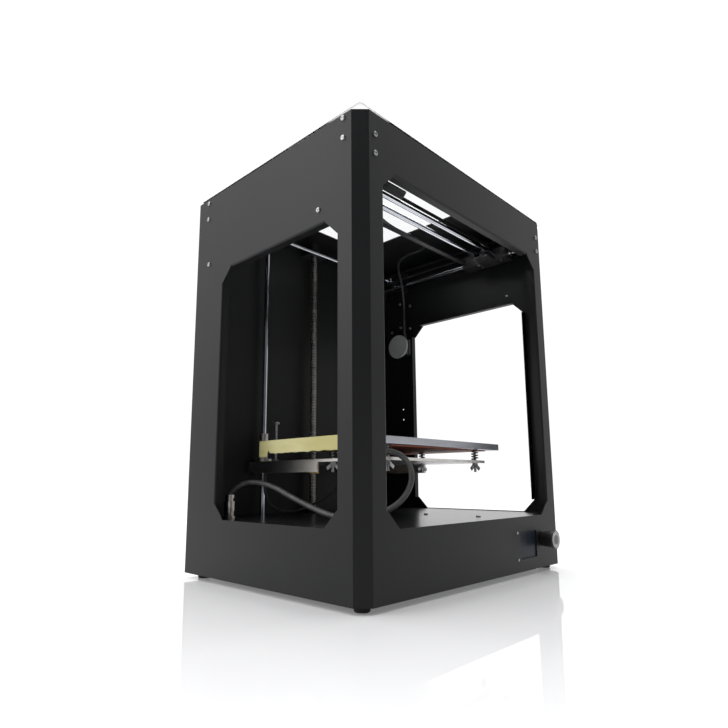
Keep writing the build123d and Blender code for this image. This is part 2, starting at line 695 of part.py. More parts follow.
def head_fan_housing():
    """Square frame of the cooling fan behind the heat sink, with its duct."""
    x = NOZZLE_X
    half = FAN_FRAME / 2
    frame = block((x - half, x + half), (HEAD_FAN_Y, HEAD_FAN_Y + 10), (FAN_Z - half, FAN_Z + half))
    frame -= bar("y", (x, HEAD_FAN_Y - 1, FAN_Z), 12, 13.5)
    for angle in (45, 165, 285):
        spoke = Pos(0, 7.5, 0) * Box(2.0, 14.0, 1.2)
        frame += Pos(x, HEAD_FAN_Y + 0.6, FAN_Z) * Rot(90, 0, 0) * Rot(0, 0, angle) * spoke
    frame += bar("y", (x, HEAD_FAN_Y, FAN_Z), 2.5, 5.0)
    duct = block((x - half, x + half), (X_BELT_Y + 9, HEAD_FAN_Y), (FAN_Z - half, HEAD_Z[0]))
    duct -= block((x - half + 2, x + half - 2), (X_BELT_Y, HEAD_FAN_Y + 1), (FAN_Z - half + 2, HEAD_Z[0] + 1))
    duct -= bar("z", (x, X_BELT_Y, 480), 30, 12.0)
    return frame + duct


def head_fan_rotor():
    """Seven-bladed rotor of the head fan."""
    hub = Cylinder(5.0, 5.0)
    for index in range(7):
        blade = Pos(0, 8.6, 0) * Rot(0, 38, 0) * Box(1.0, 7.6, 5.0)
        hub += Rot(0, 0, index * 360 / 7) * blade
    return Pos(NOZZLE_X, HEAD_FAN_Y + 5.8, FAN_Z) * Rot(90, 0, 0) * hub


def limit_switches():
    """Small end switches for the bed, the gantry and the print head."""
    switches = [
        block((-140.0, -120.0), (IN_Y - 14, IN_Y - 8), (CEILING - 26.0, CEILING - 16.0)),
        block((208.0, 214.0), (-IN_Y + 12.5, -IN_Y + 32.5), (540.0, 550.0)),
    ]
    bracket = block((-140.0, -120.0), (IN_Y - 8, IN_Y), (CEILING - 30.0, CEILING - 16.0))
    hanger = block((208.0, 214.0), (-IN_Y + 12.5, -IN_Y + 32.5), (550.0, CEILING))
    return [switches[0], bracket, switches[1], hanger]


PLUG_PLACES = [(-191.0, 129.0)]


def cable_connectors():
    """Round metal panel socket in the deck and the plug screwed on it."""
    parts = []
    for x, y in PLUG_PLACES:
        socket = bar("z", (x, y, DECK - 8), 8.0, 5.9) + bar("z", (x, y, DECK), 3.0, 9.0)
        socket += bar("z", (x, y, DECK + 3), 7.0, 7.0)
        ring = bar("z", (x, y, DECK + 10), 14.0, 8.0)
        for z in (DECK + 12.5, DECK + 16.5, DECK + 20.5):
            ring -= tube("z", (x, y, z), 1.5, 8.5, 7.5)
        collar = bar("z", (x, y, DECK + 24), 4.5, 5.6)
        cap = bar("z", (x, y, DECK + 28.5), 5.0, 6.8) - bar("z", (x, y, DECK + 30), 5.0, 5.8)
        parts += [socket, ring + collar + cap]
    return parts


def build_plate():
    """Thick heated plate that prints are made on."""
    body = block((-BED_X, BED_X), BED_Y, (BED_TOP - BED_T, BED_TOP))
    body = fillet(body.edges().filter_by(Axis.Z), 2.0)
    return chamfer(body.edges().group_by(Axis.Z)[-1], 0.6)


def heater_pad():
    """Flexible heater stuck under the plate, with a pocket round each levelling screw."""
    low = BED_TOP - BED_T - 1.5
    pad = block((-150.0, 150.0), (BED_Y[0] + 16, BED_Y[1] - 8), (low, BED_TOP - BED_T))
    for x, y in LEVEL_PLACES:
        pad -= bar("z", (x, y, low - 1), 4, 8.0)
    return pad


LEVEL_PLACES = [(x, y) for x in (-LEVEL_X, LEVEL_X) for y in LEVEL_Y]


def bed_tray():
    """Support plate with stiffened sides, which reaches back to the guide rods and the screw."""
    low, high = TRAY_Z
    tray = block((-128, 128), (BED_Y[0], IN_Y - 6.0), TRAY_Z)
    tray = fillet(tray.edges().filter_by(Axis.Z), 10.0)
    for x in (-128.0, 124.0):
        tray += block((x, x + 4), (10.0, IN_Y - 6.0), (low - 14.0, high))
    for x in (-Z_ROD_X, Z_ROD_X):
        tray -= bar("z", (x, Z_AXIS_Y, low - 1), 8, 7.5)
    tray -= bar("z", (0, Z_AXIS_Y, low - 1), 8, 8.0)
    for x, y in LEVEL_PLACES:
        tray -= bar("z", (x, y, low - 1), 8, 2.1)
    return tray - bar("z", (*TRIP_AT, low - 1), 8, 2.1)


def z_bearings():
    """Flanged linear bearings of the bed."""
    parts = []
    for x in (-Z_ROD_X, Z_ROD_X):
        body = bar("z", (x, Z_AXIS_Y, TRAY_Z[0] - 6), 56.0, 7.5)
        body += bar("z", (x, Z_AXIS_Y, TRAY_Z[1]), 5.0, 14.0)
        parts.append(body - bar("z", (x, Z_AXIS_Y, 100), 140, ROD_R + RUN_CLEAR))
    return parts


def lead_nut():
    """Brass flanged nut that the screw turns in."""
    body = bar("z", (0, Z_AXIS_Y, TRAY_Z[0] - 14.0), 14.0, 11.5)
    body += bar("z", (0, Z_AXIS_Y, TRAY_Z[0] - 14.0), 24.0, 8.0)
    return body - bar("z", (0, Z_AXIS_Y, TRAY_Z[0] - 16.0), 30.0, SCREW_R + 0.3)


TRIP_AT = (-113.0, 122.0)


def level_screws():
    """Four levelling screws, and the long round-headed screw that trips the bed switch."""
    screws = []
    for x, y in LEVEL_PLACES:
        screws.append(bar("z", (x, y, 149.5), BED_TOP - BED_T - 149.5, 2.0))
    x, y = TRIP_AT
    post = bar("z", (x, y, TRAY_Z[0] - 5), 228.0 - TRAY_Z[0] + 5, 2.0)
    head = bar("z", (x, y, 226.5), 3.5, 5.5)
    head = fillet(head.edges().group_by(Axis.Z)[-1], 2.4)
    nuts = [Pos(x, y, z) * extrude(RegularPolygon(4.2, 6), 3.0) - bar("z", (x, y, z - 1), 6, 2.0)
            for z in (TRAY_Z[1], TRAY_Z[0] - 3.0)]
    return [*screws, post + head, *nuts]


def level_springs():
    """Compression springs between tray and plate, each a stack of round coils on a helix."""
    springs = []
    low, high = TRAY_Z[1], BED_TOP - BED_T
    wire = 0.75
    path = Helix(pitch=(high - low - 2 * wire) / 4, height=high - low - 2 * wire, radius=5.0)
    coil = sweep(Plane(origin=path @ 0, z_dir=path % 0) * Circle(wire), path, is_frenet=True)
    for x, y in LEVEL_PLACES:
        springs.append(Pos(x, y, low + wire) * coil)
    return springs


def level_nut(x, y):
    """Wing nut under the tray."""
    top = TRAY_Z[0]
    hub = Pos(x, y, top - 6.0) * Cone(5.0, 4.0, 6.0, align=(Align.CENTER, Align.CENTER, Align.MIN))
    nut = hub
    for side in (-1, 1):
        wing = Pos(x + side * 7.5, y, top - 6.5) * Rot(0, side * 35, 0) * Box(10.0, 2.0, 5.0)
        nut += wing
    nut -= block((x - 20, x + 20), (y - 5, y + 5), (top - 0.1, top + 10))
    return nut - bar("z", (x, y, top - 20), 30, 2.0 + RUN_CLEAR)


def feeder_motor():
    """Flat motor of the filament feeder, on the right wall."""
    return Pos(211.5, FEEDER_Y, FEEDER_Z) * Rot(0, -90, 0) * motor(35.0, IN_X - 211.5 - 0.1)


def feeder_block():
    """Guide block of the feeder, with the push fitting that the filament tube leaves by."""
    y, z = FEEDER_Y, FEEDER_Z
    body = block((201.6, 209.8), (y - 17, y + 17), (z - 17, z + 17))
    body = chamfer(body.edges().filter_by(Axis.X), 3.0)
    body -= bar("x", (195, y, z), 20, 8.5)
    fitting = bar("z", (205.7, y - 11.5, z + 17), 6.0, 4.0) + bar("z", (205.7, y - 11.5, z + 23), 4.0, 3.2)
    return body + fitting - bar("z", (205.7, y - 11.5, z + 15), 14.0, 2.0)


def feeder_drive():
    """Knurled drive wheel, its spindle and the disc that turns it by hand."""
    y, z = FEEDER_Y, FEEDER_Z
    disc = bar("x", (197.0, y, z), 3.0, FEEDER_DISC_R) - bar("x", (196.0, y, z), 5.0, 3.2)
    disc = fillet(disc.edges().filter_by(GeomType.CIRCLE).group_by(SortBy.RADIUS)[-1], 0.8)
    wheel = tube("x", (200.1, y, z), 9.0, 6.5, 2.5)
    spindle = bar("x", (200.1, y, z), 16.0, 2.5)
    return [disc + tube("x", (199.9, y, z), 0.2, 6.0, 3.2), wheel + spindle]


def smooth_path(points):
    """Straight runs joined by the largest arcs that their lengths allow."""
    spots = [Vector(*point) for point in points]
    radii = []
    for before, here, after in zip(spots, spots[1:], spots[2:]):
        turn = (here - before).get_angle(after - here)
        shorter = min((here - before).length, (after - here).length)
        radii.append(0.45 * shorter / tan_degrees(turn / 2))
    return FilletPolyline(*spots, radius=radii)


def tan_degrees(angle):
    """Tangent of an angle given in degrees."""
    return tan(radians(angle))


def cord(points, diameter):
    """Round cord along a route."""
    path = smooth_path(points)
    section = Plane(origin=path @ 0, z_dir=path % 0) * Circle(diameter / 2)
    solid = sweep(section, path)
    return solid


BED_CABLE_D = 8.0
BED_CABLE = [
    (-191.0, 129.0, 117.5), (-184.0, 117.0, 133.0), (-171.0, 94.0, 136.5), (-160.0, 64.0, 129.0),
    (-154.0, 30.0, 114.0), (-153.0, -8.0, 102.0), (-155.0, -48.0, 92.5), (-150.0, -86.0, 89.5),
    (-130.0, -113.0, 96.0), (-105.0, -126.0, 110.0), (-87.0, -130.0, 133.0), (-88.0, -129.0, 157.0),
    (-104.0, -121.0, 173.5), (-126.0, -100.0, 176.3), (-131.0, -70.0, 176.5),
]
SENSOR_LEAD_D = 4.5
SENSOR_LEAD = [
    (-121.0, 138.0, 163.5), (-121.0, 138.0, 141.0), (-123.0, 135.0, 118.0), (-117.0, 126.0, 98.0),
    (-101.0, 114.0, 89.5), (-82.0, 98.0, 91.0), (-62.0, 78.0, 104.0), (-43.0, 60.0, 122.0),
    (-22.0, 47.0, 141.0), (-22.0, 47.0, 163.5),
]
TUBE_D = 4.0
FEED_TUBE = [
    (205.7, 114.0, 433.0), (205.7, 114.0, 466.0), (203.0, 111.5, 499.0), (190.0, 105.0, 529.0),
    (165.0, 93.0, 548.0), (139.0, 73.0, 556.0), (125.0, 43.0, 557.0), (124.0, 10.0, 555.0),
    (112.0, -14.0, 552.5), (84.0, -24.0, 551.0), (48.0, -26.5, 550.6), (12.0, -25.0, 551.5),
    (-24.0, -29.0, 553.5), (-60.0, -41.0, 558.0), (-93.0, -60.0, 562.5), (-120.0, -80.0, 563.5),
    (-138.0, -94.0, 557.0), (-144.0, -99.5, 541.5),
]


def write_case():
    """Write the fixed sheet-metal parts and what is fastened to them."""
    write("left_side_panel", side_panel("left"))
    write("right_side_panel", side_panel("right"))
    write("front_panel", front_panel())
    write("back_panel", back_panel())
    write("top_plate", top_plate())
    write("deck_plate", deck_plate())
    write("base_plate", base_plate())
    write("panel_screws", *all_screws())
    write("rubber_feet", *rubber_feet())
    write("clear_lid", clear_lid())


def write_controls():
    """Write the controls and the electronics in the base."""
    write("control_screen", *control_screen())
    write("control_knob", *control_knob())
    write("encoder_rotor", encoder_rotor())
    write("mainboard", *mainboard())
    write("power_supply", power_supply())
    write("power_inlet", *power_inlet())
    write("power_rocker", power_rocker())
    write("cable_connectors", *cable_connectors())
    write("limit_switches", *limit_switches())


def write_drives():
    """Write the rods, screw, shafts, belts and motors that stay on the case."""
    write("guide_rods", *guide_rods())
    write("frame_brackets", *rod_clamps(), *shaft_supports())
    write("drive_belts", *drive_belts())
    write("z_motor", z_motor())
    write("z_motor_pulley", *z_motor_pulley())
    write("lead_screw", *lead_screw())
    write("y_motor", y_motor())
    write("cross_shaft", *cross_shaft())
    write("front_idlers", *front_idlers())
    write("feeder_motor", feeder_motor())
    write("feeder_block", feeder_block())
    write("feeder_drive", *feeder_drive())


def write_bed():
    """Write the parts that rise and fall with the bed."""
    write("build_plate", build_plate())
    write("heater_pad", heater_pad())
    write("bed_tray", bed_tray())
    write("z_bearings", *z_bearings())
    write("lead_nut", lead_nut())
    write("level_screws", *level_screws())
    write("level_springs", *level_springs())
    names = ["left_front", "left_rear", "right_front", "right_rear"]
    for name, (x, y) in zip(names, LEVEL_PLACES):
        write(f"level_nut_{name}", level_nut(x, y))
    write("bed_cable", cord(BED_CABLE, BED_CABLE_D))
    write("sensor_lead", cord(SENSOR_LEAD, SENSOR_LEAD_D))


def write_gantry():
    """Write the gantry and the print head."""
    write("left_carriage", left_carriage())
    write("right_carriage", right_carriage())
    write("x_guide_rods", *x_guide_rods())
    write("gantry_tie_bar", gantry_tie_bar())
    write("y_bearings", *y_bearings())
    write("x_motor", x_motor())
    write("x_drive_pulley", *x_drive_pulley())
    write("x_idler_pulley", *x_idler_pulley())
    write("x_belt", x_belt())
    write("x_carriage", x_carriage())
    write("x_bearings", *x_bearings())
    write("heat_sink", heat_sink())
    write("heater_block", *heater_block())
    write("head_fan_housing", head_fan_housing())
    write("head_fan_rotor", head_fan_rotor())
    write("filament_tube", cord(FEED_TUBE, TUBE_D))


write_case()
write_controls()
write_drives()
write_bed()
write_gantry()
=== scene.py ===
import math

import bpy
import numpy as np
from mathutils import Matrix, Vector, noise as field


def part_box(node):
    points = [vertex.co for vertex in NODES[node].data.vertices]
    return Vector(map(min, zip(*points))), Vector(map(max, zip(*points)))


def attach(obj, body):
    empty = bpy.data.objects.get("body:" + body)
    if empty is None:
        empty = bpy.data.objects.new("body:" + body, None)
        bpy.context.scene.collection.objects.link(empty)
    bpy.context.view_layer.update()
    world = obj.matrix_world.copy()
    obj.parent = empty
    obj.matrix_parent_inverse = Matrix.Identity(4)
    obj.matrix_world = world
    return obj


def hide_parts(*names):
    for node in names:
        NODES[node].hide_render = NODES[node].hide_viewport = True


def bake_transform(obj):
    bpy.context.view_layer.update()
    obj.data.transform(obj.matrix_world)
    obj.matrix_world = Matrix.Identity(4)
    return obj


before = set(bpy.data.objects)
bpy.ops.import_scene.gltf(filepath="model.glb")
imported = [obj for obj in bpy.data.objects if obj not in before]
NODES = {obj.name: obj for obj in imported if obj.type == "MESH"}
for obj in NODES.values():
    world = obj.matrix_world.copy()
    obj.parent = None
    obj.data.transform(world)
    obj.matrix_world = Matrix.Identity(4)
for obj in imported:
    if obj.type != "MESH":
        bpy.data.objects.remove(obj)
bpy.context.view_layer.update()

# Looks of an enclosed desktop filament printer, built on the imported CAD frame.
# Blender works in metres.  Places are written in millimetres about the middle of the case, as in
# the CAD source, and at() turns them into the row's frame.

MM = 0.001

CASE_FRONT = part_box("front_panel")[0].y
CASE_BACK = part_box("back_panel")[1].y
CASE_MID_Y = (CASE_FRONT + CASE_BACK) / 2


def at(x, y, z):
    """Point given in millimetres about the middle of the case, in the row's frame."""
    return Vector((x * MM, y * MM + CASE_MID_Y, z * MM))


# ---------------------------------------------------------------- camera, light, floor

CAMERA_AT = (-0.66471, -0.57722, 0.13806)
CAMERA_YAW = 45.8129
CAMERA_PITCH = 9.4108
CAMERA_ROLL = -0.2446
LENS = 27.70
SENSOR = 36.0


def make_camera():
    """Camera low in front of the left corner of the case, looking slightly up."""
    yaw, pitch, roll = (math.radians(a) for a in (CAMERA_YAW, CAMERA_PITCH, CAMERA_ROLL))
    forward = Vector((math.sin(yaw) * math.cos(pitch), math.cos(yaw) * math.cos(pitch), math.sin(pitch)))
    right = Vector((math.cos(yaw), -math.sin(yaw), 0.0))
    up = right.cross(forward)
    tilted_right = right * math.cos(roll) + up * math.sin(roll)
    tilted_up = up * math.cos(roll) - right * math.sin(roll)
    turn = Matrix((tilted_right, tilted_up, -forward)).transposed()
    data = bpy.data.cameras.new("camera")
    data.lens = LENS
    data.sensor_width = SENSOR
    data.shift_x = 0.01387
    data.shift_y = 0.03178
    data.clip_start = 0.01
    camera = bpy.data.objects.new("camera", data)
    camera.matrix_world = Matrix.Translation(CAMERA_AT) @ turn.to_4x4()
    bpy.context.collection.objects.link(camera)
    bpy.context.scene.camera = camera


def area_light(name, place, aim, size, power, colour=(1.0, 1.0, 1.0)):
    """Soft square lamp."""
    data = bpy.data.lights.new(name, "AREA")
    data.size = size
    data.energy = power
    data.color = colour
    lamp = bpy.data.objects.new(name, data)
    lamp.location = place
    lamp.rotation_euler = (Vector(aim) - Vector(place)).to_track_quat("-Z", "Y").to_euler()
    bpy.context.collection.objects.link(lamp)


def make_world():
    """White studio: bright behind and above the object, dimmer in front of it."""
    world = bpy.data.worlds.new("studio")
    world.use_nodes = True
    tree = world.node_tree
    back = tree.nodes["Background"]
    coord = tree.nodes.new("ShaderNodeTexCoord")
    dot = tree.nodes.new("ShaderNodeVectorMath")
    dot.operation = "DOT_PRODUCT"
    dot.inputs[1].default_value = (0.50, 0.86, 0.0)
    tree.links.new(coord.outputs["Generated"], dot.inputs[0])
    ramp = tree.nodes.new("ShaderNodeValToRGB")
    ramp.color_ramp.elements[0].position = 0.10
    ramp.color_ramp.elements[0].color = (0.13, 0.132, 0.14, 1)
    ramp.color_ramp.elements[1].position = 0.62
    ramp.color_ramp.elements[1].color = (1, 1, 1, 1)
    half = tree.nodes.new("ShaderNodeMath")
    half.operation = "MULTIPLY_ADD"
    half.inputs[1].default_value = 0.5
    half.inputs[2].default_value = 0.5
    tree.links.new(dot.outputs["Value"], half.inputs[0])
    tree.links.new(half.outputs[0], ramp.inputs["Fac"])
    tree.links.new(ramp.outputs["Color"], back.inputs["Color"])
    back.inputs["Strength"].default_value = 1.05
    bpy.context.scene.world = world
    bpy.context.scene.view_settings.view_transform = "Standard"


def make_stage():
    """Pale glossy floor and the studio lamps."""
    mesh = bpy.data.meshes.new("floor")
    side = 8.0
    corners = [(-side, -side, 0), (side, -side, 0), (side, side, 0), (-side, side, 0)]
    mesh.from_pydata(corners, [], [(0, 1, 2, 3)])
    floor = bpy.data.objects.new("floor", mesh)
    bpy.context.collection.objects.link(floor)
    mat, tree, shader = blank_material("floor_white")
    shader.inputs["Base Color"].default_value = (0.76, 0.76, 0.77, 1)
    shader.inputs["Emission Color"].default_value = (1.0, 1.0, 1.0, 1)
    shader.inputs["Emission Strength"].default_value = 0.16
    shader.inputs["Roughness"].default_value = 0.03
    shader.inputs["Specular IOR Level"].default_value = 0.5
    floor.data.materials.append(mat)
    make_world()
    area_light("overhead", (0.3, 0.4, 2.4), (0, 0, 0), 2.6, 62)
    area_light("left_fill", (-2.0, 0.9, 1.3), (0, 0, 0.3), 1.6, 20)


# ---------------------------------------------------------------- materials

def blank_material(name):
    """Material with a Principled shader, and its tree and shader."""
    mat = bpy.data.materials.new(name)
    mat.use_nodes = True
    return mat, mat.node_tree, mat.node_tree.nodes["Principled BSDF"]


def pattern(tree, scale, stretch=(1, 1, 1), detail=3.0, kind="ShaderNodeTexNoise"):
    """Noise over the object's own coordinates, in features per metre."""
    coord = tree.nodes.new("ShaderNodeTexCoord")
    mapping = tree.nodes.new("ShaderNodeMapping")
    mapping.inputs["Scale"].default_value = stretch
    texture = tree.nodes.new(kind)
    texture.inputs["Scale"].default_value = scale
    if "Detail" in texture.inputs:
        texture.inputs["Detail"].default_value = detail
    tree.links.new(coord.outputs["Object"], mapping.inputs["Vector"])
    tree.links.new(mapping.outputs["Vector"], texture.inputs["Vector"])
    return texture.outputs[0]


def two_tones(tree, value, dark, light, low=0.35, high=0.65):
    """Colour between two tones, by a pattern's value."""
    ramp = tree.nodes.new("ShaderNodeValToRGB")
    ramp.color_ramp.elements[0].position = low
    ramp.color_ramp.elements[0].color = (*dark, 1)
    ramp.color_ramp.elements[1].position = high
    ramp.color_ramp.elements[1].color = (*light, 1)
    tree.links.new(value, ramp.inputs["Fac"])
    return ramp.outputs["Color"]


def spread(tree, value, low, high):
    """Value of a pattern, moved to another range."""
    node = tree.nodes.new("ShaderNodeMapRange")
    node.inputs["From Min"].default_value = 0.3
    node.inputs["From Max"].default_value = 0.7
    node.inputs["To Min"].default_value = low
    node.inputs["To Max"].default_value = high
    tree.links.new(value, node.inputs["Value"])
    return node.outputs["Result"]


def add_bump(tree, shader, value, height, strength=1.0):
    """Relief from a pattern, its height in metres."""
    bump = tree.nodes.new("ShaderNodeBump")
    bump.inputs["Distance"].default_value = height
    bump.inputs["Strength"].default_value = strength
    tree.links.new(value, bump.inputs["Height"])
    tree.links.new(bump.outputs["Normal"], shader.inputs["Normal"])


def finish_material(name, dark, light, rough, patch=9.0, grain=900.0, relief=0.00002,
                    stretch=(1, 1, 1), metallic=0.0, **sockets):
    """Procedural finish: broad colour patches, fine grain in roughness and relief."""
    mat, tree, shader = blank_material(name)
    broad = pattern(tree, patch, stretch)
    fine = pattern(tree, grain, stretch, detail=2.0)
    tree.links.new(two_tones(tree, broad, dark, light), shader.inputs["Base Color"])
    tree.links.new(spread(tree, fine, *rough), shader.inputs["Roughness"])
    shader.inputs["Metallic"].default_value = metallic
    for socket, value in sockets.items():
        shader.inputs[socket.replace("_", " ")].default_value = value
    add_bump(tree, shader, fine, relief)
    return mat


def grey(value, tint=(1.0, 1.0, 1.0)):
    """Grey with a slight tint."""
    return tuple(value * part for part in tint)


COOL = (0.96, 0.99, 1.06)
WARM = (1.05, 1.0, 0.93)


def clear_acrylic():
    """Polished clear sheet with faint dust."""
    mat, tree, shader = blank_material("clear_acrylic")
    dust = pattern(tree, 40.0)
    tree.links.new(two_tones(tree, dust, (0.95, 0.97, 0.98), (1, 1, 1)), shader.inputs["Base Color"])
    tree.links.new(spread(tree, dust, 0.01, 0.04), shader.inputs["Roughness"])
    shader.inputs["Transmission Weight"].default_value = 1.0
    shader.inputs["IOR"].default_value = 1.15
    return mat


MATERIALS = {
    "case": finish_material("case_paint", grey(0.0085, COOL), grey(0.0105, COOL), (0.42, 0.48),
                            patch=5.0, grain=1500.0, relief=0.000012, Specular_IOR_Level=0.26),
    "deck": finish_material("deck_paint", grey(0.016, COOL), grey(0.020, COOL), (0.20, 0.26),
                            patch=5.0, grain=1500.0, relief=0.000012),
    "bracket": finish_material("bracket_paint", grey(0.010, COOL), grey(0.016, COOL), (0.35, 0.45)),
    "screw_head": finish_material("zinc_screws", grey(0.26), grey(0.42), (0.28, 0.40), patch=120.0,
                                  metallic=1.0),
    "foot": finish_material("foot_rubber", grey(0.012), grey(0.02), (0.7, 0.85), grain=1800.0,
                            relief=0.00005),
    "lid": clear_acrylic(),
    "rod": finish_material("ground_rod", grey(0.55, COOL), grey(0.66, COOL), (0.10, 0.16), patch=25.0,
                           grain=2500.0, relief=0.000002, metallic=1.0),
    "thread": finish_material("rolled_thread", grey(0.30, WARM), grey(0.48, WARM), (0.28, 0.42),
                              patch=60.0, metallic=1.0),
    "belt": finish_material("belt_rubber", grey(0.008), grey(0.014), (0.55, 0.7), grain=1200.0,
                            relief=0.00005),
    "motor": finish_material("motor_black", grey(0.012, COOL), grey(0.02, COOL), (0.38, 0.5)),
    "pulley": finish_material("turned_aluminium", grey(0.5), grey(0.62), (0.25, 0.38), patch=90.0,
                              metallic=1.0),
    "plastic": finish_material("moulded_black", grey(0.010), grey(0.016), (0.38, 0.52), patch=30.0,
                               grain=1600.0, relief=0.00003),
    "plate": finish_material("milled_plate", grey(0.40, COOL), grey(0.47, COOL), (0.34, 0.46),
                             patch=14.0, grain=700.0, stretch=(1, 6, 6), metallic=1.0),
    "heater": finish_material("heater_silicone", (0.23, 0.05, 0.025), (0.34, 0.085, 0.04), (0.5, 0.65),
                              patch=60.0, grain=1400.0, relief=0.00005),
    "tray": finish_material("satin_aluminium", grey(0.62, WARM), grey(0.72), (0.30, 0.42), patch=10.0,
                            grain=600.0, stretch=(6, 1, 6), metallic=1.0),
    "bearing": finish_material("bearing_steel", grey(0.46, WARM), grey(0.60, WARM), (0.25, 0.38),
                               patch=80.0, metallic=1.0),
    "brass": finish_material("turned_brass", (0.46, 0.31, 0.12), (0.62, 0.44, 0.19), (0.26, 0.4),
                             patch=80.0, metallic=1.0),
    "spring": finish_material("black_spring", grey(0.05), grey(0.09), (0.3, 0.45), metallic=1.0),
    "disc": finish_material("disc_plastic", (0.30, 0.33, 0.31), (0.37, 0.40, 0.37), (0.4, 0.55),
                            patch=40.0, grain=1200.0),
    "cooler": finish_material("cooler_aluminium", grey(0.45), grey(0.58), (0.28, 0.42), patch=60.0,
                              metallic=1.0),
    "tube": finish_material("ptfe_tube", (0.030, 0.031, 0.034), (0.045, 0.046, 0.050), (0.3, 0.4),
                            patch=60.0),
    "knob": finish_material("knob_black", grey(0.012), grey(0.02), (0.3, 0.42), patch=60.0),
    "connector": finish_material("nickel_connector", grey(0.42, WARM), grey(0.62, WARM), (0.2, 0.35),
                                 patch=150.0, metallic=1.0),
    "board": finish_material("circuit_board", (0.006, 0.045, 0.02), (0.012, 0.07, 0.035), (0.3, 0.45),
                             patch=180.0, grain=900.0),
    "supply": finish_material("supply_metal", grey(0.45), grey(0.58), (0.35, 0.5), patch=20.0,
                              metallic=1.0),
    "inlet": finish_material("inlet_plastic", grey(0.012), grey(0.018), (0.5, 0.6), patch=40.0),
    "screen": finish_material("screen_glass", (0.012, 0.017, 0.026), (0.018, 0.024, 0.036), (0.30, 0.38),
                              patch=20.0, Specular_IOR_Level=0.12),
}

FINISHES = {
    "case": ["left_side_panel", "right_side_panel", "front_panel", "back_panel", "top_plate",
             "base_plate"],
    "deck": ["deck_plate"],
    "bracket": ["frame_brackets", "gantry_tie_bar"],
    "screw_head": ["panel_screws", "level_screws", "level_nut_left_front", "level_nut_left_rear",
                   "level_nut_right_front", "level_nut_right_rear"],
    "foot": ["rubber_feet"],
    "lid": ["clear_lid"],
    "rod": ["guide_rods", "x_guide_rods", "cross_shaft"],
    "thread": ["lead_screw"],
    "belt": ["drive_belts", "x_belt"],
    "motor": ["z_motor", "y_motor", "feeder_motor", "x_motor"],
    "pulley": ["z_motor_pulley", "front_idlers", "x_drive_pulley", "x_idler_pulley"],
    "plastic": ["limit_switches", "feeder_block", "encoder_rotor", "left_carriage", "right_carriage",
                "x_carriage", "head_fan_housing", "head_fan_rotor"],
    "plate": ["build_plate"],
    "heater": ["heater_pad"],
    "tray": ["bed_tray"],
    "bearing": ["z_bearings", "y_bearings", "x_bearings"],
    "brass": ["lead_nut", "heater_block"],
    "spring": ["level_springs"],
    "disc": ["feeder_drive"],
    "cooler": ["heat_sink"],
    "knob": ["control_knob", "power_rocker"],
    "connector": ["cable_connectors"],
    "board": ["mainboard"],
    "supply": ["power_supply"],
    "inlet": ["power_inlet"],
    "screen": ["control_screen"],
}


def dress_nodes():
    """Give every carried-over CAD node its finish."""
    for finish, names in FINISHES.items():
        for name in names:
            for slot in NODES[name].material_slots:
                slot.material = MATERIALS[finish]


# ---------------------------------------------------------------- meshes along a line

def new_piece(name, verts, faces, material, smooth=True):
    """Mesh object from plain lists."""
    mesh = bpy.data.meshes.new(name)
    mesh.from_pydata([tuple(v) for v in verts], [], faces)
    mesh.materials.append(material)
    if smooth:
        mesh.shade_smooth()
    else:
        mesh.shade_flat()
    piece = bpy.data.objects.new(name, mesh)
    bpy.context.collection.objects.link(piece)
    return piece


def route_line(name, route):
    """Points along the smooth NURBS line of a route."""
    curve = bpy.data.curves.new(name + "_line", "CURVE")
    curve.dimensions = "3D"
    curve.resolution_u = 24
    line = curve.splines.new("NURBS")
    line.points.add(len(route) - 1)
    for point, place in zip(line.points, route):
        point.co = (*at(*place), 1.0)
    line.order_u = 3
    line.use_endpoint_u = True
    holder = bpy.data.objects.new(name + "_line", curve)
    bpy.context.collection.objects.link(holder)
    mesh = bpy.data.meshes.new_from_object(holder)
    points = [v.co.copy() for v in mesh.vertices]
    bpy.data.objects.remove(holder)
    return points


def even_steps(points, step):
    """The same line with evenly spaced points, and its length."""
    knots = np.array([tuple(p) for p in points])
    gaps = np.linalg.norm(np.diff(knots, axis=0), axis=1)
    run = np.concatenate([[0.0], np.cumsum(gaps)])
    count = max(2, int(run[-1] / step) + 1)
    where = np.linspace(0.0, run[-1], count)
    spots = np.stack([np.interp(where, run, knots[:, axis]) for axis in range(3)], axis=1)
    return [Vector(spot) for spot in spots], run[-1]


def sweep_mesh(points, radius, sides):
    """Vertices and faces of a tube; radius is a function of distance along it and angle."""
    verts, faces, run = [], [], 0.0
    normal = None
    for index, spot in enumerate(points):
        ahead = points[min(index + 1, len(points) - 1)] - points[max(index - 1, 0)]
        ahead.normalize()
        if normal is None:
            normal = ahead.orthogonal().normalized()
        normal = (normal - ahead * normal.dot(ahead)).normalized()
        across = ahead.cross(normal)
        if index:
            run += (spot - points[index - 1]).length
        for side in range(sides):
            angle = 2 * math.pi * side / sides
            out = normal * math.cos(angle) + across * math.sin(angle)
            verts.append(spot + out * radius(run, angle))
    for ring in range(len(points) - 1):
        for side in range(sides):
            a, b = ring * sides + side, ring * sides + (side + 1) % sides
            faces.append((a, b, b + sides, a + sides))
    last = (len(points) - 1) * sides
    faces.append(tuple(reversed(range(sides))))
    faces.append(tuple(range(last, last + sides)))
    return verts, faces


